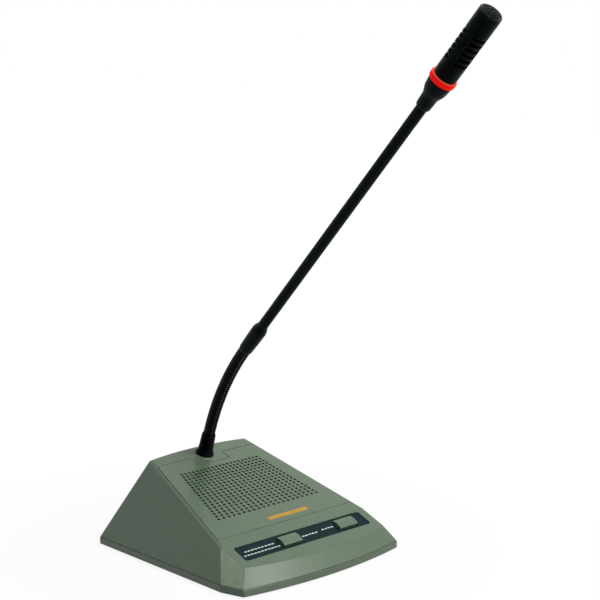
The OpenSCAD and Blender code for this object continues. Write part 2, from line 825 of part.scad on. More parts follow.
module head_holder() {
    bore = stem_d / 2 + slip;
    top = holder_top_r;
    color(black_satin) on_stem(holder_s) rotate_extrude() polygon([
        [bore, 0], [bore + 0.75, 0], [bore + 1.2, 1], [bore + 1.45, holder_len * 0.43],
        [top - 1.2, holder_len * 0.6], [top - 0.55, holder_len * 0.7], [top, holder_len],
        [thread_r, holder_len], [thread_r, holder_len + ring_len + head_floor],
        [neck_bore / 2 + 0.5, holder_len + ring_len + head_floor], [neck_bore / 2 + 0.5, tube_grip + 0.2],
        [bore, tube_grip + 0.2]
    ]);
}

ring_web = 1.8;
ring_wall = 1.4;
module led_ring() {
    r = ring_d / 2;
    color("red") on_stem(ring_s) rotate_extrude() polygon([
        [r - ring_wall, 0], [r - 0.5, 0], [r, 0.8], [r, ring_len - 1], [r - 0.7, ring_len],
        [thread_r + slip, ring_len], [thread_r + slip, ring_len - ring_web],
        [r - ring_wall, ring_len - ring_web]
    ]);
}

led_count = 4;
module led_board() {
    color(board_green) on_stem(ring_s) {
        linear_extrude(1) difference() {
            circle(ring_d / 2 - ring_wall - 0.2);
            circle(thread_r + slip);
        }
        for (i = [0:led_count - 1]) rotate(i * 360 / led_count)
            translate([thread_r + 0.35, -0.8, 1 - eps]) cube([1.2, 1.6, 1.2]);
    }
}

module head_tube() {
    r = head_d / 2;
    color(black_satin) on_stem(head_s) difference() {
        rotate_extrude() polygon([
            [thread_r + slip, 0], [r - 0.2, 0], [r, 0.2], [r, head_len - 0.8], [r - 0.6, head_len],
            [head_bore, head_len], [head_bore, head_floor], [thread_r + slip, head_floor]
        ]);
        for (c = [0:slot_cols - 1], i = [0:slot_count - 1])
            rotate(slot_turn + c * 360 / slot_cols - slot_span / 2)
                translate([0, 0, slot_first + i * slot_pitch - slot_h / 2])
                rotate_extrude(angle = slot_span) translate([head_bore - 0.5, 0])
                square([head_wall + 1, slot_h]);
    }
}

// Inside the head: foam behind the slots, then the capsule in its rubber mount, then the end mesh
foam_t = 0.8;
mount_len = 8;
foam_len = slot_first + (slot_count - 1) * slot_pitch + slot_h / 2 + 0.6 - head_floor;
mount_s = head_s + head_floor + foam_len;
capsule_r = 5;
capsule_len = 6.5;
capsule_lip = 0.8;
mesh_t = 0.8;
mesh_hole_d = 0.9;
mesh_pitch = 1.4;
mesh_rise = 1.2;
module foam_liner() {
    color([0.15, 0.15, 0.16]) on_stem(head_s + head_floor) linear_extrude(foam_len) difference() {
        circle(head_bore - slip);
        circle(head_bore - foam_t);
    }
}
module capsule_mount() {
    color([0.1, 0.1, 0.1]) on_stem(mount_s) difference() {
        cylinder(h = mount_len, r = head_bore - slip);
        translate([0, 0, capsule_lip]) cylinder(h = mount_len, r = capsule_r + slip);
        translate([0, 0, -1]) cylinder(h = mount_len, r = capsule_r - 1);
    }
}
module capsule() {
    color("silver") on_stem(mount_s + capsule_lip) difference() {
        cylinder(h = capsule_len, r = capsule_r);
        translate([0, 0, capsule_len - 0.5]) cylinder(h = 1, r = capsule_r - 1.2);
    }
}
module mesh_cap() {
    seat = mount_s + mount_len;
    rise_r = (pow(head_bore, 2) + pow(mesh_rise, 2)) / (2 * mesh_rise);
    n = floor((head_bore - 1) / mesh_pitch);
    color(black_satin) on_stem() difference() {
        union() {
            translate([0, 0, seat]) linear_extrude(head_top - seat) difference() {
                circle(head_bore - slip);
                circle(head_bore - 0.7);
            }
            intersection() {
                translate([0, 0, head_top - mesh_t]) cylinder(h = mesh_t + mesh_rise, r = head_bore - slip);
                translate([0, 0, head_top + mesh_rise - rise_r]) difference() {
                    sphere(rise_r, $fn = 96);
                    sphere(rise_r - mesh_t, $fn = 96);
                }
            }
        }
        for (i = [-n:n], j = [-n:n]) let(x = (i + j / 2) * mesh_pitch, y = j * mesh_pitch * sin(60))
            if (norm([x, y]) < head_bore - 1.2)
                translate([x, y, head_top - 2 * mesh_t])
                    cylinder(h = 2 * (mesh_rise + mesh_t), d = mesh_hole_d, $fn = 16);
    }
}
lead_r = 1.2;
module mic_lead() {
    color([0.2, 0.2, 0.22]) on_stem(spigot_len) cylinder(h = mount_s + capsule_lip - spigot_len, r = lead_r);
}

upper_shell();
grille_panel();
bottom_cover();
control_strip();
ballast_plate();
rubber_feet();
cover_screws();
main_board();
board_screws();
switch_board();
speak_switch();
priority_switch();
speaker_gasket();
speaker_basket();
speaker_cone();
speaker_magnet();
speaker_screws();
bus_socket_shells();
bus_socket_inserts();
neck_boot();
neck_ferrule();
neck_washer();
neck_nut();
speak_button();
speak_plunger();
priority_button();
priority_plunger();
neck_link_1();
neck_link_2();
neck_link_3();
neck_link_4();
neck_link_5();
neck_link_6();
neck_link_7();
neck_end();
stem_sleeve();
stem_tube();
head_holder();
led_board();
led_ring();
head_tube();
foam_liner();
capsule_mount();
capsule();
mesh_cap();
mic_lead();
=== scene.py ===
# %% [markdown]
# # A desk conference microphone
#
# The object is a wedge-shaped loudspeaker base with two call buttons. A flexible neck grows out of
# its deck and carries a straight stem, a red light ring and a slotted head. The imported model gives
# every piece its place and its size. This lesson dresses it: soft moulded edges, a ribbed hose,
# turned metal, prints and finishes.

# %% The frame
import json
import math

import bpy
from mathutils import Matrix, Vector


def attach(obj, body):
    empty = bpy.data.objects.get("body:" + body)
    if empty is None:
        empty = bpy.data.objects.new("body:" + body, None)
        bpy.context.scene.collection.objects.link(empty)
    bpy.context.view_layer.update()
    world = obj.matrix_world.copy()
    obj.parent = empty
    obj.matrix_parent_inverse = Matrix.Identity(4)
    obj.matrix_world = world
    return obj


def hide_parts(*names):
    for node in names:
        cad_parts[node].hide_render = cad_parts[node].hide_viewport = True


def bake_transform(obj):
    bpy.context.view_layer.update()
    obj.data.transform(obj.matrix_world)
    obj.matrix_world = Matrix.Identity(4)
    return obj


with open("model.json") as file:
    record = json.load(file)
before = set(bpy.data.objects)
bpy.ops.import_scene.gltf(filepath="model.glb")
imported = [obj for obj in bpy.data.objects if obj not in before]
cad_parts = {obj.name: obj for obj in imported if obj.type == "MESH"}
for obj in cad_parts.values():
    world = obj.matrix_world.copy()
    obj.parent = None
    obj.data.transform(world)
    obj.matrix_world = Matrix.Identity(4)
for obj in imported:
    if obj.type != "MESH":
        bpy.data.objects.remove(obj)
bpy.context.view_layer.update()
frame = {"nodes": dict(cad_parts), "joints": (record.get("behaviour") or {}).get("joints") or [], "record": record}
nodes = frame["nodes"]
bpy.ops.object.select_all(action="DESELECT")
MM = 0.001

# %% [markdown]
# ## The camera
#
# The camera comes first, because it says how large each detail shows. A product shot is taken from
# far off with a long lens, which keeps the edges of the base nearly parallel. The place, the lens
# and the two angles were fitted to the base's corners.

# %% Camera
LENS_MM = 90.14
EYE = Vector((-657.3, -750.9, 344.9)) * MM
AZIMUTH = math.radians(-43.033)
ELEVATION = math.radians(9.733)
bpy.ops.object.camera_add(location=EYE, rotation=(math.pi / 2 - ELEVATION, 0, AZIMUTH))
camera = bpy.context.object
camera.name = "product_camera"
camera.data.lens = LENS_MM
bpy.context.scene.camera = camera
bpy.context.scene.view_settings.view_transform = "Standard"
print("camera at", [round(v, 3) for v in camera.location])

# %% [markdown]
# ## The studio
#
# A product stands on a white sweep under one large softbox, with a paler fill all round. Two more
# panels show in the gloss alone: a small white card, behind and to the left, picks out the front
# corner, and a window in front draws the row of small lights down the ribbed hose. A colour should
# render about as it is written, so the softbox and the sky together give a level of one on the deck.
# Rays that show the background, from the eye or from a gloss, find plain white.

# %% Sky
SKY_FILL = 0.14
SKY_TINT = (0.74, 1.0, 1.1, 1)


def showing_rays(tree):
    """1 where a ray shows the surface to the eye, straight or in a gloss or a glass."""
    path = tree.nodes.new("ShaderNodeLightPath")
    shown = path.outputs["Is Camera Ray"]
    for ray in ("Is Glossy Ray", "Is Transmission Ray"):
        larger = tree.nodes.new("ShaderNodeMath")
        larger.operation = "MAXIMUM"
        tree.links.new(shown, larger.inputs[0])
        tree.links.new(path.outputs[ray], larger.inputs[1])
        shown = larger.outputs[0]
    return shown


sky = bpy.data.worlds.new("studio_sky")
sky.use_nodes = True
sky.node_tree.nodes.clear()
fill_light = sky.node_tree.nodes.new("ShaderNodeBackground")
fill_light.inputs["Color"].default_value = SKY_TINT
fill_light.inputs["Strength"].default_value = SKY_FILL
plain_white = sky.node_tree.nodes.new("ShaderNodeBackground")
plain_white.inputs["Color"].default_value = (1, 1, 1, 1)
either = sky.node_tree.nodes.new("ShaderNodeMixShader")
sky_output = sky.node_tree.nodes.new("ShaderNodeOutputWorld")
sky.node_tree.links.new(showing_rays(sky.node_tree), either.inputs["Fac"])
sky.node_tree.links.new(fill_light.outputs[0], either.inputs[1])
sky.node_tree.links.new(plain_white.outputs[0], either.inputs[2])
sky.node_tree.links.new(either.outputs[0], sky_output.inputs["Surface"])
bpy.context.scene.world = sky
print("sky fill", SKY_FILL)

# %% Softbox, card and window
AIM = Vector((0, -20, 60)) * MM


def panel_light(name, way, far, size, watts, colour):
    """A square of light that looks at the base from a given way."""
    way = Vector(way).normalized()
    bpy.ops.object.light_add(type="AREA", location=AIM + way * far)
    panel = bpy.context.object
    panel.name = name
    panel.rotation_euler = (-way).to_track_quat("-Z", "Y").to_euler()
    panel.data.size = size
    panel.data.energy = watts
    panel.data.color = colour
    return panel


softbox = panel_light(
    "softbox", (0.24, -0.46, 0.85), far=1.6, size=0.6, watts=22, colour=(1, 0.985, 0.94)
)
card = panel_light("card", (-0.62, 0.34, 0.7), far=1.2, size=0.3, watts=2.5, colour=(0.94, 1, 0.78))
window = panel_light("window", (0.16, -0.95, 0.12), far=1.2, size=0.5, watts=18, colour=(1, 0.97, 0.94))
for panel in (card, window):
    panel.visible_diffuse = False
print("softbox, card and window:", [panel.data.energy for panel in (softbox, card, window)], "W")

# %% [markdown]
# ### The floor
#
# The floor is grey paper to the light, so that it throws back no more light than a table does. To the
# eye it glows white. Near the object a share of the paper shows through the glow, and with it the
# object's shadow.

# %% Floor
FLOOR_SIZE = 8
PAPER = (0.42, 0.42, 0.42, 1)
GLOW = 1.2
SHADOW_NEAR = 0.15
SHADOW_FAR = 0.9
GLOW_SHARE = 0.75
bpy.ops.mesh.primitive_plane_add(size=FLOOR_SIZE)
floor = bpy.context.object
floor.name = "floor"
sweep = bpy.data.materials.new("white_sweep")
sweep.use_nodes = True
tree = sweep.node_tree
tree.nodes.clear()
paper = tree.nodes.new("ShaderNodeBsdfDiffuse")
paper.inputs["Color"].default_value = PAPER
glow = tree.nodes.new("ShaderNodeEmission")
glow.inputs["Strength"].default_value = GLOW
share = tree.nodes.new("ShaderNodeMath")
share.operation = "MULTIPLY"
coords = tree.nodes.new("ShaderNodeTexCoord")
distance = tree.nodes.new("ShaderNodeVectorMath")
distance.operation = "LENGTH"
fade = tree.nodes.new("ShaderNodeMapRange")
fade.inputs["From Min"].default_value = SHADOW_NEAR
fade.inputs["From Max"].default_value = SHADOW_FAR
fade.inputs["To Min"].default_value = GLOW_SHARE
fade.inputs["To Max"].default_value = 1
blend = tree.nodes.new("ShaderNodeMixShader")
floor_output = tree.nodes.new("ShaderNodeOutputMaterial")
tree.links.new(coords.outputs["Object"], distance.inputs[0])
tree.links.new(distance.outputs["Value"], fade.inputs["Value"])
tree.links.new(fade.outputs["Result"], share.inputs[0])
tree.links.new(showing_rays(tree), share.inputs[1])
tree.links.new(share.outputs[0], blend.inputs["Fac"])
tree.links.new(paper.outputs[0], blend.inputs[1])
tree.links.new(glow.outputs[0], blend.inputs[2])
tree.links.new(blend.outputs[0], floor_output.inputs["Surface"])
floor.data.materials.append(sweep)
print("floor", FLOOR_SIZE, "m")

# %% [markdown]
# ## Finishes
#
# Each finish is a Principled shader with what the real surface has at its real scale: the mottle and
# the fine grain of a moulded plastic, the skin of a paint, the blast of an anodised tube. The
# patterns read Object coordinates, in metres, so they stay put on the piece. A small set of helpers
# keeps each finish to a few lines.

# %% Helpers for finishes
NOISE_LOW = 0.3
NOISE_HIGH = 0.7
RELIEF = 0.6


def tone(red, green, blue):
    """A colour as a screen shows it, from 0 to 255, in the linear values that shaders use."""
    shown = [v / 255 for v in (red, green, blue)]
    return [v / 12.92 if v < 0.04045 else ((v + 0.055) / 1.055) ** 2.4 for v in shown] + [1]


def new_finish(name, roughness, gloss=0.5):
    """An empty finish: its material, its node tree and its shader."""
    material = bpy.data.materials.new(name)
    material.use_nodes = True
    tree = material.node_tree
    tree.nodes.clear()
    shader = tree.nodes.new("ShaderNodeBsdfPrincipled")
    shader.inputs["Roughness"].default_value = roughness
    shader.inputs["Specular IOR Level"].default_value = gloss
    output = tree.nodes.new("ShaderNodeOutputMaterial")
    tree.links.new(shader.outputs["BSDF"], output.inputs["Surface"])
    return material, tree, shader


def cloud(tree, size, detail=2):
    """Noise with blotches of about this size in metres."""
    coords = tree.nodes.new("ShaderNodeTexCoord")
    noise = tree.nodes.new("ShaderNodeTexNoise")
    noise.inputs["Scale"].default_value = 1 / size
    noise.inputs["Detail"].default_value = detail
    tree.links.new(coords.outputs["Object"], noise.inputs["Vector"])
    return noise.outputs["Fac"]


def ramp(tree, value, low, high):
    """A colour that runs from low to high with a value."""
    colours = tree.nodes.new("ShaderNodeValToRGB")
    colours.color_ramp.elements[0].position = NOISE_LOW
    colours.color_ramp.elements[0].color = low
    colours.color_ramp.elements[1].position = NOISE_HIGH
    colours.color_ramp.elements[1].color = high
    tree.links.new(value, colours.inputs["Fac"])
    return colours.outputs["Color"]


def spread(tree, value, low, high):
    """A number that runs from low to high with a value."""
    mapped = tree.nodes.new("ShaderNodeMapRange")
    mapped.inputs["From Min"].default_value = NOISE_LOW
    mapped.inputs["From Max"].default_value = NOISE_HIGH
    mapped.inputs["To Min"].default_value = low
    mapped.inputs["To Max"].default_value = high
    tree.links.new(value, mapped.inputs["Value"])
    return mapped.outputs["Result"]


def emboss(tree, shader, value, depth):
    """Relief of a given depth in metres, on the shader's normal."""
    bump = tree.nodes.new("ShaderNodeBump")
    bump.inputs["Distance"].default_value = depth
    bump.inputs["Strength"].default_value = RELIEF
    tree.links.new(value, bump.inputs["Height"])
    tree.links.new(bump.outputs["Normal"], shader.inputs["Normal"])


def shades(colour, change):
    """A darker and a lighter shade of a colour."""
    return [[v * f for v in colour[:3]] + [1] for f in (1 - change, 1 + change)]


print("helpers for finishes are ready")

# %% [markdown]
# ### Moulded plastic, paint and metal
#
# The case is a textured grey-green plastic: a broad mottle that hardly shows, and a grain of a third
# of a millimetre that takes the shine off it. The stem is painted tube, the head is blasted and
# anodised, and the neck, the boot and the sleeves are black plastic and rubber of several glosses.
# Black pieces are hard to read, so some have satin: the shader's Sheen, which lightens the edges of
# a round piece and leaves its middle dark.

# %% Finishes by kind
SATIN_TINT = (0.85, 0.97, 1, 1)
MOTTLE = 14 * MM
SHINE_PATCH = 5 * MM
POLISH_PATCH = 1.5 * MM


def moulded(
    name, colour, roughness=0.5, gloss=0.3, grain=0.32 * MM, depth=0.016 * MM, change=0.05, satin=0,
    breadth=0.45,
):
    """Moulded plastic or paint, mottled and finely grained. Satin lightens its edges."""
    material, tree, shader = new_finish(name, roughness, gloss)
    shader.inputs["Sheen Weight"].default_value = satin
    shader.inputs["Sheen Roughness"].default_value = breadth
    shader.inputs["Sheen Tint"].default_value = SATIN_TINT
    mottle = cloud(tree, MOTTLE, 3)
    tree.links.new(ramp(tree, mottle, *shades(colour, change)), shader.inputs["Base Color"])
    uneven = spread(tree, cloud(tree, SHINE_PATCH), roughness - 0.04, roughness + 0.04)
    tree.links.new(uneven, shader.inputs["Roughness"])
    emboss(tree, shader, cloud(tree, grain, 3), depth)
    return material


def metal(name, colour, roughness, depth=0.004 * MM, grain=0.2 * MM):
    """Bare metal with a fine uneven polish."""
    material, tree, shader = new_finish(name, roughness)
    shader.inputs["Metallic"].default_value = 1
    tree.links.new(ramp(tree, cloud(tree, 3 * MM), *shades(colour, 0.08)), shader.inputs["Base Color"])
    uneven = spread(tree, cloud(tree, POLISH_PATCH, 4), roughness - 0.07, roughness + 0.07)
    tree.links.new(uneven, shader.inputs["Roughness"])
    emboss(tree, shader, cloud(tree, grain), depth)
    return material


# In order: colour, roughness, gloss, grain, its depth, change of shade, satin and its breadth.
case_green = moulded("case_green", tone(94, 113, 91), 0.34, 0.5)
key_green = moulded("key_green", tone(95, 114, 92), 0.36, 0.5, 0.25 * MM, 0.006 * MM)
strip_blue = moulded("strip_blue", tone(20, 44, 48), 0.4, 0.05, 0.5 * MM, 0.004 * MM, 0.08)
gold_print = moulded("gold_print", tone(200, 154, 62), 0.45, 0.2, 0.3 * MM, 0.004 * MM, 0.06)
white_print = moulded("white_print", tone(228, 232, 228), 0.5, 0.2, 0.3 * MM, 0.004 * MM, 0.03)
hose_black = moulded("hose_black", tone(2, 3, 5), 0.18, 0.07, 0.2 * MM, 0.003 * MM, 0.15)
sleeve_black = moulded("sleeve_black", tone(7, 13, 15), 0.36, 0.02, 0.25 * MM, 0.008 * MM, 0.12, 0.55)
stem_black = moulded("stem_black", tone(6, 12, 15), 0.3, 0.02, 0.4 * MM, 0.006 * MM, 0.1, 0.5)
head_black = moulded("head_black", tone(2, 3, 5), 0.5, 0.01, 0.16 * MM, 0.005 * MM, 0.12, 1, 0.4)
boot_black = moulded("boot_black", tone(2, 3, 6), 0.4, 0.02, 0.25 * MM, 0.008 * MM, 0.12, 0.1)
mesh_black = moulded("mesh_black", tone(66, 74, 78), 0.35, 0.2, 0.2 * MM, 0.004 * MM, 0.15)
foam_black = moulded("foam_black", tone(3, 3, 4), 0.95, 0.01, 0.5 * MM, 0.15 * MM, 0.3)
rubber_black = moulded("rubber_black", tone(18, 18, 19), 0.75, 0.1, 0.4 * MM, 0.015 * MM, 0.12)
foam_grey = moulded("foam_grey", tone(30, 30, 32), 0.95, 0.1, 0.5 * MM, 0.15 * MM, 0.3)
cone_black = moulded("cone_black", tone(16, 16, 17), 0.8, 0.1, 0.6 * MM, 0.03 * MM, 0.2)
basket_black = moulded("basket_black", tone(9, 9, 10), 0.5, 0.06, 0.4 * MM, 0.006 * MM, 0.1)
board_green = moulded("board_green", tone(34, 92, 58), 0.35, 0.5, 0.6 * MM, 0.01 * MM, 0.12)
zinc = metal("zinc", (0.62, 0.62, 0.64, 1), 0.38)
nickel = metal("nickel", (0.75, 0.74, 0.72, 1), 0.22)
ferrite = moulded("ferrite", tone(62, 62, 64), 0.7, 0.3, 0.3 * MM, 0.01 * MM, 0.15)
print("finishes:", len(bpy.data.materials))

# %% [markdown]
# ### The light ring
#
# The ring is clear red plastic with small lamps behind it, so it seems to glow: its colour is deep
# and part of its light comes from inside. A little emission does that without lighting the table.
# The upper edge is a paler orange with the same glow: a painted highlight along the rim.

# %% Red light


def lit_plastic(name, low, high, light, strength):
    """Clear plastic with lamps behind it."""
    material, tree, shader = new_finish(name, 0.3, 0.04)
    tree.links.new(ramp(tree, cloud(tree, 6 * MM), low, high), shader.inputs["Base Color"])
    shader.inputs["Emission Color"].default_value = light
    shader.inputs["Emission Strength"].default_value = strength
    return material


ring_red = lit_plastic("ring_red", tone(210, 6, 10), tone(232, 14, 14), tone(255, 26, 18), 0.52)
# The paler orange of the upper rim is a painted highlight.
painted_highlight_red = lit_plastic("painted_highlight_red", tone(222, 60, 40), tone(240, 84, 56), tone(255, 96, 60), 0.5)
print("light ring finishes:", ring_red.name, painted_highlight_red.name)

# %% [markdown]
# ## Tools of the bench
#
# Most pieces are made in one of two ways. A moulded piece starts as a cast of its CAD node, whose
# triangles are merged into faces and whose edges are then rounded, because no moulding has a knife
# edge. A round piece is turned: a ring is extruded and scaled from one point of its profile to the
# next, as on a lathe.

# %% Casting and rounding
MERGE = 0.002 * MM
FLAT = math.radians(0.4)


def take(obj):
    """Let go of everything, then take this piece."""
    if bpy.context.object and bpy.context.object.mode != "OBJECT":
        bpy.ops.object.mode_set(mode="OBJECT")
    bpy.ops.object.select_all(action="DESELECT")
    obj.select_set(True)
    bpy.context.view_layer.objects.active = obj


def cast_of(node, name):
    """A copy of a CAD node's mesh with its loose triangles merged into faces."""
    copy = bpy.data.objects.new(name, nodes[node].data.copy())
    bpy.context.collection.objects.link(copy)
    copy.data.materials.clear()
    take(copy)
    bpy.ops.object.mode_set(mode="EDIT")
    bpy.ops.mesh.select_all(action="SELECT")
    bpy.ops.mesh.customdata_custom_splitnormals_clear()
    bpy.ops.mesh.remove_doubles(threshold=MERGE)
    bpy.ops.mesh.dissolve_limited(angle_limit=FLAT)
    bpy.ops.object.mode_set(mode="OBJECT")
    return copy


def in_the_open(obj, edge):
    """True if the way out from an edge's middle meets no other wall of the piece."""
    ends = [obj.data.vertices[i] for i in edge.vertices]
    middle = (ends[0].co + ends[1].co) / 2
    outwards = (ends[0].normal + ends[1].normal).normalized()
    return not obj.ray_cast(middle + outwards * 0.1 * MM, outwards)[0]


def round_edges(obj, width, steps=3, sharp=25, wanted=None):
    """Round the sharp edges that lie in the open."""
    take(obj)
    bpy.ops.object.mode_set(mode="EDIT")
    bpy.ops.mesh.select_mode(type="EDGE")
    bpy.ops.mesh.select_all(action="DESELECT")
    bpy.ops.mesh.edges_select_sharp(sharpness=math.radians(sharp))
    bpy.ops.object.mode_set(mode="OBJECT")
    bpy.context.view_layer.update()
    count = 0
    for edge in obj.data.edges:
        if edge.select:
            keep = wanted(obj, edge) if wanted else in_the_open(obj, edge)
            edge.select = keep
            count += keep
    for vertex in obj.data.vertices:
        vertex.select = False
    for face in obj.data.polygons:
        face.select = False
    bpy.ops.object.mode_set(mode="EDIT")
    bpy.ops.mesh.bevel(offset=width, segments=steps, affect="EDGES", clamp_overlap=False)
    bpy.ops.object.mode_set(mode="OBJECT")
    return count


def even_shading(obj, angle=38):
    """Smooth shading that keeps large faces flat."""
    take(obj)
    bpy.ops.object.shade_smooth_by_angle(angle=math.radians(angle))
    bpy.ops.object.modifier_add(type="WEIGHTED_NORMAL")
    weighting = obj.modifiers[-1]
    weighting.keep_sharp = True
    bpy.ops.object.modifier_apply(modifier=weighting.name)


def dress(obj, finish, body=None):
    """Give a piece its finish and the body that it rides on."""
    obj.data.materials.clear()
    obj.data.materials.append(finish)
    if body:
        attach(obj, body)


print("casting tools are ready")

# %% Turning
SIDES = 72


def turned(name, profile, sides=SIDES, joined=True):
    """Turn a profile of (radius, height) points about the Z axis. A joined profile is a closed tube."""
    bpy.ops.object.select_all(action="DESELECT")
    radius, height = profile[0]
    bpy.ops.mesh.primitive_circle_add(vertices=sides, radius=radius)
    obj = bpy.context.object
    obj.name = name
    bpy.ops.object.mode_set(mode="EDIT")
    bpy.ops.mesh.select_all(action="SELECT")
    bpy.ops.transform.translate(value=(0, 0, height))
    for next_radius, next_height in profile[1:]:
        grow = next_radius / radius
        bpy.ops.mesh.extrude_region_move(
            TRANSFORM_OT_translate={"value": (0, 0, next_height - height)}
        )
        bpy.ops.transform.resize(value=(grow, grow, 1), center_override=(0, 0, next_height))
        radius, height = next_radius, next_height
    if joined:
        bpy.ops.mesh.select_all(action="DESELECT")
        bpy.ops.mesh.select_mode(type="EDGE")
        bpy.ops.mesh.select_non_manifold()
        bpy.ops.mesh.bridge_edge_loops()
        bpy.ops.mesh.select_all(action="SELECT")
        bpy.ops.mesh.normals_make_consistent(inside=False)
    bpy.ops.object.mode_set(mode="OBJECT")
    return obj


def set_down(obj, place):
    """Move a finished mesh to its place and leave its object at the origin."""
    obj.matrix_world = place
    take(obj)
    bpy.ops.object.transform_apply(location=True, rotation=True, scale=True)


print("turning tools are ready, with", SIDES, "sides")

# %% [markdown]
# ## The housing
#
# The upper shell, the bottom cover and the grille panel are mouldings with edges of about half a
# millimetre radius. They could be drawn afresh, but their walls, pockets and screw posts fit the
# other pieces, so each is a cast of its node with its outer edges rounded. An edge counts as outer
# if a ray from it leaves the piece.

# %% Upper shell and bottom cover
housing = cast_of("upper_shell", "housing")
rounded = round_edges(housing, 0.3 * MM, sharp=15)
even_shading(housing, angle=20)
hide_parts("upper_shell")
dress(housing, case_green, "base")
print("housing:", rounded, "edges rounded,", len(housing.data.polygons), "faces")

tray = cast_of("bottom_cover", "bottom_tray")
rounded = round_edges(tray, 0.25 * MM, sharp=15)
even_shading(tray, angle=20)
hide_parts("bottom_cover")
dress(tray, case_green, "base")
print("tray:", rounded, "edges rounded,", len(tray.data.polygons), "faces")

# %% Grille panel
CREASE = Vector((0, -34, 27.7)) * MM
DECK_SLOPE = math.radians(18.46)
on_deck = Matrix.Translation(CREASE) @ Matrix.Rotation(DECK_SLOPE, 4, "X")


def on_top(obj, edge):
    """True for an edge that lies in the deck's own plane."""
    ends = [on_deck.inverted() @ obj.data.vertices[i].co for i in edge.vertices]
    return min(point.z for point in ends) > -0.1 * MM


grille = cast_of("grille_panel", "grille")
rounded = round_edges(grille, 0.12 * MM, steps=2, wanted=on_top)
even_shading(grille)
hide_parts("grille_panel")
dress(grille, case_green, "base")
print("grille:", rounded, "edges rounded,", len(grille.data.polygons), "faces")

# %% [markdown]
# ## Strip, keys and prints
#
# The dark strip lies in a shallow recess of the control face, and the two keys come up through it
# with a crowned top. The prints are layers of ink, a few hundredths of a millimetre thick: a gold
# bar on the panel, and rows of short white bars beside the keys.

# %% Strip and keys
strip = cast_of("control_strip", "strip")
rounded = round_edges(strip, 0.12 * MM, steps=2)
even_shading(strip)
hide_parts("control_strip")
dress(strip, strip_blue, "base")
print("strip:", rounded, "edges rounded")

for key_name in ("speak", "priority"):
    key = cast_of(key_name + "_button", key_name + "_key")
    rounded = round_edges(key, 0.45 * MM)
    even_shading(key)
    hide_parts(key_name + "_button")
    dress(key, key_green, key_name + "_button")
    print(key.name, rounded, "edges rounded")

# %% Prints
FACE_SLOPE = math.radians(21.05)
STRIP_SUNK = 0.6 * MM
STRIP_DOWN = 18.1 * MM
INK = 0.03 * MM
on_strip = (
    Matrix.Translation(CREASE)
    @ Matrix.Rotation(FACE_SLOPE, 4, "X")
    @ Matrix.Translation((0, -STRIP_DOWN, -STRIP_SUNK))
)


def printed(name, surface, start, size, marks=1, gap=0):
    """A row of flat bars of ink on a sloping surface, from its left end."""
    bpy.ops.object.select_all(action="DESELECT")
    bpy.ops.mesh.primitive_cube_add(size=1)
    obj = bpy.context.object
    obj.name = name
    bpy.ops.object.mode_set(mode="EDIT")
    bpy.ops.transform.resize(value=(size[0], size[1], INK))
    bpy.ops.transform.translate(value=(start[0] + size[0] / 2, start[1], INK / 2))
    bpy.ops.object.mode_set(mode="OBJECT")
    bpy.ops.object.modifier_add(type="ARRAY")
    row = obj.modifiers[-1]
    row.count = marks
    row.use_relative_offset = False
    row.use_constant_offset = True
    row.constant_offset_displace = (size[0] + gap, 0, 0)
    bpy.ops.object.modifier_apply(modifier=row.name)
    set_down(obj, surface)
    return obj


gold_bar = printed("gold_bar", on_deck, (-11.4 * MM, 6.3 * MM), (35.4 * MM, 3.5 * MM))
dress(gold_bar, gold_print, "base")
print("gold bar:", [round(v * 1000, 1) for v in gold_bar.dimensions], "mm")

RULES = (
    ("rule_1", (-51.4 * MM, 1.4 * MM), 9),
    ("rule_2", (-54.4 * MM, -2.2 * MM), 11),
    ("rule_3", (-1.7 * MM, -0.1 * MM), 5),
    ("rule_4", (16.8 * MM, 0.6 * MM), 4),
)
BAR = (2.2 * MM, 0.9 * MM)
BAR_GAP = 0.7 * MM
for name, start, marks in RULES:
    rule = printed(name, on_strip, start, BAR, marks, BAR_GAP)
    dress(rule, white_print, "base")
print("white rules:", len(RULES))

# %% [markdown]
# ## The flexible neck
#
# A gooseneck is a wound hose: some forty ribs, a little under two millimetres apart, that bend by a
# hair each. The frame carries it on eight hinges. One straight length of hose is turned, copied
# eight times, and each copy is laid along the neck's arc over one hinge's length, in place of that
# hinge's links.

# %% Where the neck runs
hinges = [joint for joint in frame["joints"] if joint["name"].startswith("neck_")]
places = [Vector(joint["pos_m"]) for joint in hinges]
sways = [joint for joint in hinges if "sway" in joint["name"]]
leans = [math.atan2(joint["axis"][2], joint["axis"][1]) for joint in sways]
lean_step = (leans[-1] - leans[0]) / (len(hinges) - 2)
first_lean = leans[0] - lean_step
arc_radius = (places[1] - places[0]).length / (2 * math.sin(lean_step / 2))
pitch = arc_radius * lean_step
neck_length = pitch * len(hinges)


def neck_lean(way):
    """Lean of the neck at a way along it, measured from its foot."""
    return first_lean + lean_step * (way / pitch - 0.5)


def neck_point(way, side=0, front=0):
    """A point beside the neck's middle line: side along X, front square to it."""
    lean = neck_lean(way)
    y = places[0].y + arc_radius * (math.cos(lean) - math.cos(first_lean))
    z = places[0].z + arc_radius * (math.sin(lean) - math.sin(first_lean))
    return Vector((side, y + front * math.cos(lean), z + front * math.sin(lean)))


print("neck:", round(neck_length * 1000, 1), "mm long on", len(hinges), "hinges")

# %% Ribbed hose
HOSE_R = 4.3 * MM
GROOVE = 1.0 * MM
HOSE_BORE = 2.6 * MM
RIBS = 5
RIB_STEPS = (0.0, 0.05, 0.16, 0.32, 0.5, 0.68, 0.84, 0.95)
RIB_FULLNESS = 0.6
HOSE_SIDES = 48


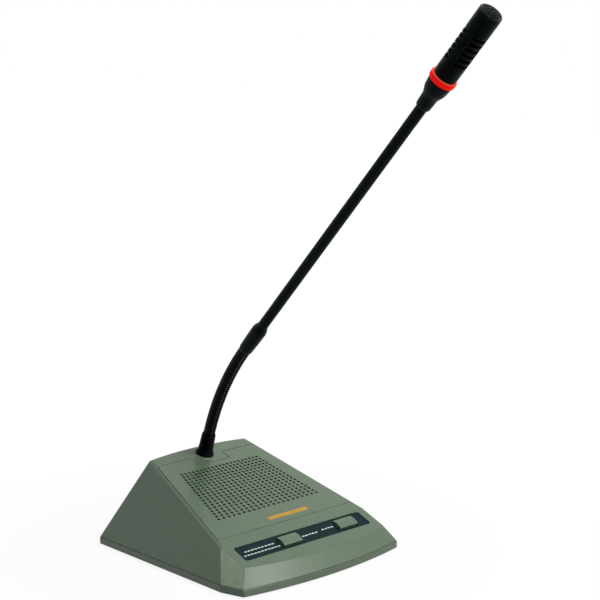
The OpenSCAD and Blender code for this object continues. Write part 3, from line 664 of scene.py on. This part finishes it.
def rib_profile():
    """Round ribs with sharp grooves between them, over one hinge's length of hose."""
    rib = pitch / RIBS
    points = []
    for number in range(RIBS):
        for step in RIB_STEPS:
            rise = math.sin(math.pi * step) ** RIB_FULLNESS
            points.append((HOSE_R - GROOVE * (1 - rise), (number + step) * rib))
    points.append((HOSE_R - GROOVE, pitch))
    return points + [(HOSE_BORE, pitch), (HOSE_BORE, 0)]


pattern = turned("hose", rib_profile(), HOSE_SIDES)
hides = [["neck_ferrule", "neck_link_1"]]
hides += [[f"neck_link_{number}"] for number in range(2, 8)] + [["neck_end"]]
for number, hidden in enumerate(hides):
    length = pattern.copy()
    length.data = pattern.data.copy()
    length.name = f"hose_{number + 1}"
    bpy.context.collection.objects.link(length)
    start = number * pitch
    for vertex in length.data.vertices:
        vertex.co = neck_point(start + vertex.co.z, vertex.co.x, vertex.co.y)
    take(length)
    bpy.ops.object.shade_smooth_by_angle(angle=math.radians(50))
    dress(length, hose_black)
    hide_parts(*hidden)
    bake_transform(length)
bpy.data.objects.remove(pattern)
print("hose:", len(hides), "lengths with", RIBS, "ribs each")

# %% [markdown]
# ## Boot, sleeve and stem
#
# These are turned pieces with soft shoulders. The boot flares where it meets the deck. The sleeve
# grips the hose's end, swells and closes on the stem with a rounded lip. The stem is plain painted
# tube. Their ends come from the CAD nodes, measured along the stem.

# %% Along the stem
neck_top = neck_point(neck_length)
stem_lean = neck_lean(neck_length)
stem_place = Matrix.Translation(neck_top) @ Matrix.Rotation(stem_lean, 4, "X")
boot_place = Matrix.Translation(neck_point(0)) @ Matrix.Rotation(neck_lean(0), 4, "X")


def reach(node):
    """Where a node starts and ends along the stem, and its largest radius."""
    local = [stem_place.inverted() @ vertex.co for vertex in nodes[node].data.vertices]
    heights = [point.z for point in local]
    return min(heights), max(heights), max(point.xy.length for point in local)


sleeve_foot, sleeve_top, sleeve_r = reach("stem_sleeve")
tube_foot, tube_top, tube_r = reach("stem_tube")
holder_foot = reach("head_holder")[0]
ring_foot, ring_top, ring_r = reach("led_ring")
head_foot, head_top, head_r = reach("head_tube")
mesh_top = reach("mesh_cap")[1]
print("stem to", round(holder_foot * 1000, 1), "head to", round(head_top * 1000, 1), "mm")

# %% Boot
BOOT_H = 16.5 * MM
BOOT_FOOT_R = 6.5 * MM
BOOT_TOP_R = 4.85 * MM
boot = turned("boot", [
    (HOSE_R - GROOVE + 0.02 * MM, -BOOT_H + 0.2 * MM),
    (BOOT_FOOT_R - 0.25 * MM, -BOOT_H),
    (BOOT_FOOT_R, -BOOT_H + 0.25 * MM),
    (BOOT_FOOT_R, -BOOT_H + 0.7 * MM),
    (BOOT_FOOT_R - 0.2 * MM, -BOOT_H + 1.2 * MM),
    (BOOT_FOOT_R - 0.65 * MM, -BOOT_H + 2.1 * MM),
    (BOOT_TOP_R + 0.7 * MM, -BOOT_H + 3.2 * MM),
    (BOOT_TOP_R + 0.48 * MM, -BOOT_H + 4.8 * MM),
    (BOOT_TOP_R + 0.3 * MM, -BOOT_H * 0.5),
    (BOOT_TOP_R + 0.1 * MM, -2.2 * MM),
    (BOOT_TOP_R, -0.9 * MM),
    (BOOT_TOP_R - 0.18 * MM, -0.4 * MM),
    (BOOT_TOP_R - 0.5 * MM, -0.2 * MM),
    (HOSE_R - GROOVE + 0.02 * MM, -0.2 * MM),
])
set_down(boot, boot_place)
bpy.ops.object.shade_smooth_by_angle(angle=math.radians(42))
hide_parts("neck_boot")
dress(boot, boot_black, "base")

COLLAR_R = 8.3 * MM
COLLAR_H = 0.3 * MM
collar = turned("boot_collar", [
    (BOOT_FOOT_R + 0.1 * MM, -BOOT_H),
    (COLLAR_R, -BOOT_H),
    (COLLAR_R - 0.12 * MM, -BOOT_H + 0.6 * COLLAR_H),
    (COLLAR_R - 0.5 * MM, -BOOT_H + COLLAR_H),
    (BOOT_FOOT_R + 0.4 * MM, -BOOT_H + COLLAR_H),
    (BOOT_FOOT_R + 0.1 * MM, -BOOT_H + 0.5 * COLLAR_H),
])
set_down(collar, boot_place)
bpy.ops.object.shade_smooth_by_angle(angle=math.radians(42))
dress(collar, case_green, "base")
print("boot and collar:", len(boot.data.polygons), len(collar.data.polygons), "faces")

# %% Sleeve and stem tube
sleeve_len = sleeve_top - sleeve_foot
sleeve = turned("sleeve", [
    (tube_r - 0.3 * MM, sleeve_foot),
    (sleeve_r - 0.9 * MM, sleeve_foot),
    (sleeve_r - 0.62 * MM, sleeve_foot + 0.25 * MM),
    (sleeve_r - 0.45 * MM, sleeve_foot + 0.8 * MM),
    (sleeve_r - 0.3 * MM, sleeve_foot + 0.25 * sleeve_len),
    (sleeve_r - 0.12 * MM, sleeve_foot + 0.5 * sleeve_len),
    (sleeve_r - 0.02 * MM, sleeve_top - 5.4 * MM),
    (sleeve_r, sleeve_top - 4.4 * MM),
    (sleeve_r - 0.08 * MM, sleeve_top - 3.3 * MM),
    (sleeve_r - 0.3 * MM, sleeve_top - 2.3 * MM),
    (sleeve_r - 0.62 * MM, sleeve_top - 1.3 * MM),
    (sleeve_r - 0.95 * MM, sleeve_top - 0.5 * MM),
    (tube_r + 0.45 * MM, sleeve_top - 0.08 * MM),
    (tube_r + 0.1 * MM, sleeve_top),
    (tube_r + 0.02 * MM, sleeve_top - 0.3 * MM),
    (tube_r - 0.3 * MM, sleeve_top - 0.6 * MM),
])
set_down(sleeve, stem_place)
bpy.ops.object.shade_smooth_by_angle(angle=math.radians(40))
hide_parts("stem_sleeve")
dress(sleeve, sleeve_black, "stem")

TUBE_WALL = 0.7 * MM
stem = turned("stem_tube_painted", [
    (tube_r - TUBE_WALL, tube_foot),
    (tube_r, tube_foot),
    (tube_r, (tube_foot + tube_top) / 2),
    (tube_r, tube_top),
    (tube_r - TUBE_WALL, tube_top),
])
set_down(stem, stem_place)
bpy.ops.object.shade_smooth_by_angle(angle=math.radians(40))
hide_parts("stem_tube")
dress(stem, stem_black, "stem")
print("stem tube:", round((tube_top - tube_foot) * 1000, 1), "mm")

# %% [markdown]
# ## Holder, light ring and head
#
# The holder starts as a straight grip on the stem and flares out to carry the ring. The ring stands
# a little proud of the head. Its foot sits in the holder's lip, and its upper rim is a paler edge: a
# painted highlight. The head tube has three columns of slots. They are made like sheet metal: the
# skin is turned with a row of faces for each slot, those faces are taken out, and the skin is given
# its thickness.

# %% Holder and ring
RING_SUNK = 1.2 * MM
lip = ring_foot + RING_SUNK
holder_len = ring_foot - holder_foot
shoulder_r = head_r + 0.2 * MM
holder = turned("holder", [
    (tube_r + 0.03 * MM, holder_foot + 0.3 * MM),
    (tube_r + 0.45 * MM, holder_foot),
    (tube_r + 0.8 * MM, holder_foot + 0.25 * MM),
    (tube_r + 1.1 * MM, holder_foot + 0.9 * MM),
    (tube_r + 1.28 * MM, holder_foot + 0.22 * holder_len),
    (tube_r + 1.48 * MM, holder_foot + 0.42 * holder_len),
    (tube_r + 1.85 * MM, holder_foot + 0.49 * holder_len),
    (shoulder_r - 1.6 * MM, holder_foot + 0.57 * holder_len),
    (shoulder_r - 0.95 * MM, holder_foot + 0.65 * holder_len),
    (shoulder_r - 0.52 * MM, holder_foot + 0.73 * holder_len),
    (shoulder_r - 0.22 * MM, holder_foot + 0.85 * holder_len),
    (shoulder_r - 0.05 * MM, ring_foot - 0.6 * MM),
    (shoulder_r, lip - 0.5 * MM),
    (shoulder_r - 0.15 * MM, lip - 0.15 * MM),
    (shoulder_r - 0.5 * MM, lip - 0.02 * MM),
    (head_r - 1.8 * MM, lip - 0.02 * MM),
    (head_r - 1.8 * MM, ring_foot - 0.02 * MM),
    (tube_r + 0.03 * MM, ring_foot - 0.02 * MM),
])
set_down(holder, stem_place)
bpy.ops.object.shade_smooth_by_angle(angle=math.radians(40))
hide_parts("head_holder")
dress(holder, sleeve_black, "stem")

ring = turned("light_ring", [
    (head_r - 1.8 * MM, lip),
    (ring_r - 0.6 * MM, lip),
    (ring_r - 0.25 * MM, lip + 0.1 * MM),
    (ring_r - 0.05 * MM, lip + 0.35 * MM),
    (ring_r, lip + 0.7 * MM),
    (ring_r, ring_top - 0.9 * MM),
    (ring_r - 0.08 * MM, ring_top - 0.55 * MM),
    (ring_r - 0.3 * MM, ring_top - 0.3 * MM),
    (head_r - 1.8 * MM, ring_top - 0.3 * MM),
])
set_down(ring, stem_place)
bpy.ops.object.shade_smooth_by_angle(angle=math.radians(40))
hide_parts("led_ring")
dress(ring, ring_red, "stem")

# The thin upper rim takes the paler finish: a painted highlight along the ring's top edge.
ring_edge = turned("light_ring_edge", [
    (head_r - 1.8 * MM, ring_top - 0.3 * MM),
    (ring_r - 0.3 * MM, ring_top - 0.3 * MM),
    (ring_r - 0.6 * MM, ring_top - 0.15 * MM),
    (head_r + 0.1 * MM, ring_top - 0.1 * MM),
    (head_r - 1.8 * MM, ring_top - 0.1 * MM),
])
set_down(ring_edge, stem_place)
bpy.ops.object.shade_smooth_by_angle(angle=math.radians(40))
dress(ring_edge, painted_highlight_red, "stem")
print("ring:", round(ring_r * 2000, 1), "mm across")

# %% Slotted head
HEAD_WALL = 0.8 * MM
SLOTS = 6
SLOT_COLUMNS = 3
SLOT_FIRST = 13.1 * MM
SLOT_PITCH = 3.9 * MM
SLOT_HIGH = 2.4 * MM
SLOT_TURN = math.radians(8.5)
SLOT_SPAN = math.radians(80)
slot_rows = []
for number in range(SLOTS):
    middle = head_foot + SLOT_FIRST + number * SLOT_PITCH
    slot_rows += [middle - SLOT_HIGH / 2, middle + SLOT_HIGH / 2]
head = turned("slotted_head", [
    (head_r - 0.3 * MM, head_foot),
    (head_r, head_foot + 0.3 * MM),
    *[(head_r, height) for height in slot_rows],
    (head_r, head_top - 2.3 * MM),
    (head_r - 0.3 * MM, head_top - 2.2 * MM),
    (head_r - 0.3 * MM, head_top - 1.8 * MM),
    (head_r, head_top - 1.7 * MM),
    (head_r, head_top - 1.0 * MM),
    (head_r - 0.15 * MM, head_top - 0.5 * MM),
    (head_r - 0.52 * MM, head_top - 0.12 * MM),
    (head_r - 0.77 * MM, head_top - 0.06 * MM),
], joined=False)
turn = SLOT_TURN - SLOT_SPAN / 2
set_down(head, Matrix.Rotation(turn, 4, "Z"))
bpy.ops.object.mode_set(mode="EDIT")
bpy.ops.mesh.select_mode(type="FACE")
bpy.ops.mesh.select_all(action="DESELECT")
bpy.ops.object.mode_set(mode="OBJECT")
for face in head.data.polygons:
    centre = face.center
    angle = (math.atan2(centre.y, centre.x) - turn) % (2 * math.pi / SLOT_COLUMNS)
    in_row = any(low < centre.z < high for low, high in zip(slot_rows[::2], slot_rows[1::2]))
    face.select = in_row and angle < SLOT_SPAN
bpy.ops.object.mode_set(mode="EDIT")
bpy.ops.mesh.delete(type="FACE")
bpy.ops.mesh.select_all(action="SELECT")
bpy.ops.mesh.normals_make_consistent(inside=False)
bpy.ops.object.mode_set(mode="OBJECT")
bpy.ops.object.modifier_add(type="SOLIDIFY")
head.modifiers[-1].thickness = HEAD_WALL
head.modifiers[-1].offset = -1
bpy.ops.object.modifier_apply(modifier=head.modifiers[-1].name)
set_down(head, stem_place)
rounded = round_edges(head, 0.12 * MM, steps=2, sharp=50)
even_shading(head, angle=35)
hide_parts("head_tube")
dress(head, head_black, "stem")
print("head:", SLOTS * SLOT_COLUMNS, "slots,", rounded, "edges rounded")

# %% [markdown]
# ### The end mesh
#
# The head ends in a fine groove, a thin rim and a shallow dome of wire mesh over the whole end. A
# flat grid is trimmed to a disc by drawing its outer points in to a circle. It is then raised to a
# dome and turned into wires with the Wireframe modifier.

# %% Rim and mesh
MESH_R = head_r - 1.05 * MM
MESH_CELL = 1.4 * MM
MESH_CELLS = 12
WIRE = 0.4 * MM
rim_r = head_r - HEAD_WALL - 0.35 * MM
rim = turned("mesh_rim", [
    (rim_r - 0.6 * MM, head_top - 6 * MM),
    (rim_r, head_top - 6 * MM),
    (rim_r, head_top - 0.5 * MM),
    (rim_r - 0.1 * MM, head_top - 0.3 * MM),
    (rim_r - 0.6 * MM, head_top - 0.3 * MM),
])
set_down(rim, stem_place)
bpy.ops.object.shade_smooth_by_angle(angle=math.radians(35))
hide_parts("mesh_cap")
dress(rim, head_black, "stem")

MESH_RISE = mesh_top - head_top - WIRE / 2
bpy.ops.object.select_all(action="DESELECT")
bpy.ops.mesh.primitive_grid_add(
    x_subdivisions=MESH_CELLS, y_subdivisions=MESH_CELLS, size=MESH_CELLS * MESH_CELL
)
mesh_end = bpy.context.object
mesh_end.name = "mesh_end"
bpy.ops.object.mode_set(mode="EDIT")
bpy.ops.mesh.select_mode(type="VERT")
bpy.ops.mesh.select_all(action="DESELECT")
bpy.ops.object.mode_set(mode="OBJECT")
for vertex in mesh_end.data.vertices:
    out = vertex.co.xy.length
    vertex.select = out > MESH_R + 0.7 * MESH_CELL
    if out > MESH_R:
        vertex.co = vertex.co * MESH_R / out
    dome = 1 - min(1, out / MESH_R) ** 2
    vertex.co.z = head_top + MESH_RISE * dome
bpy.ops.object.mode_set(mode="EDIT")
bpy.ops.mesh.delete(type="VERT")
bpy.ops.object.mode_set(mode="OBJECT")
bpy.ops.object.modifier_add(type="WIREFRAME")
mesh_end.modifiers[-1].thickness = WIRE
mesh_end.modifiers[-1].use_even_offset = False
bpy.ops.object.modifier_apply(modifier=mesh_end.modifiers[-1].name)
set_down(mesh_end, stem_place)
bpy.ops.object.shade_smooth_by_angle(angle=math.radians(60))
dress(mesh_end, mesh_black, "stem")
print("mesh:", len(mesh_end.data.polygons), "faces")

# %% [markdown]
# ## Sockets, feet and what is inside
#
# The sockets and the feet are casts with rounded edges. What is inside the case shows only through
# the sound holes and the slots, so those nodes stay as they are and get finishes of their own. The
# loudspeaker and the capsule are dark, so that nothing shines through the holes.

# %% Sockets and feet
for node, name, finish, slot, width in (
    ("bus_socket_shells", "socket_shells", nickel, "socket_metal", 0.25 * MM),
    ("bus_socket_inserts", "socket_inserts", sleeve_black, "socket_insert", 0.12 * MM),
    ("rubber_feet", "feet", rubber_black, "rubber", 0.3 * MM),
):
    piece = cast_of(node, name)
    rounded = round_edges(piece, width, steps=2)
    even_shading(piece)
    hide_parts(node)
    dress(piece, finish, "base")
    print(name, rounded, "edges rounded")

# %% Inner pieces
INNER = {
    "ballast": zinc,
    "screws": zinc,
    "rubber": rubber_black,
    "circuit_board": board_green,
    "switch": sleeve_black,
    "gasket": foam_grey,
    "basket": basket_black,
    "cone": cone_black,
    "magnet": ferrite,
    "foam": foam_black,
    "capsule": cone_black,
    "lead": rubber_black,
}
slot_of = {entry["node"]: entry["material_slot"] for entry in frame["record"]["subparts"]}
for name, obj in nodes.items():
    finish = INNER.get(slot_of[name])
    obj.data.materials.clear()
    obj.data.materials.append(finish or case_green)
print("inner pieces:", sum(slot in INNER for slot in slot_of.values()))
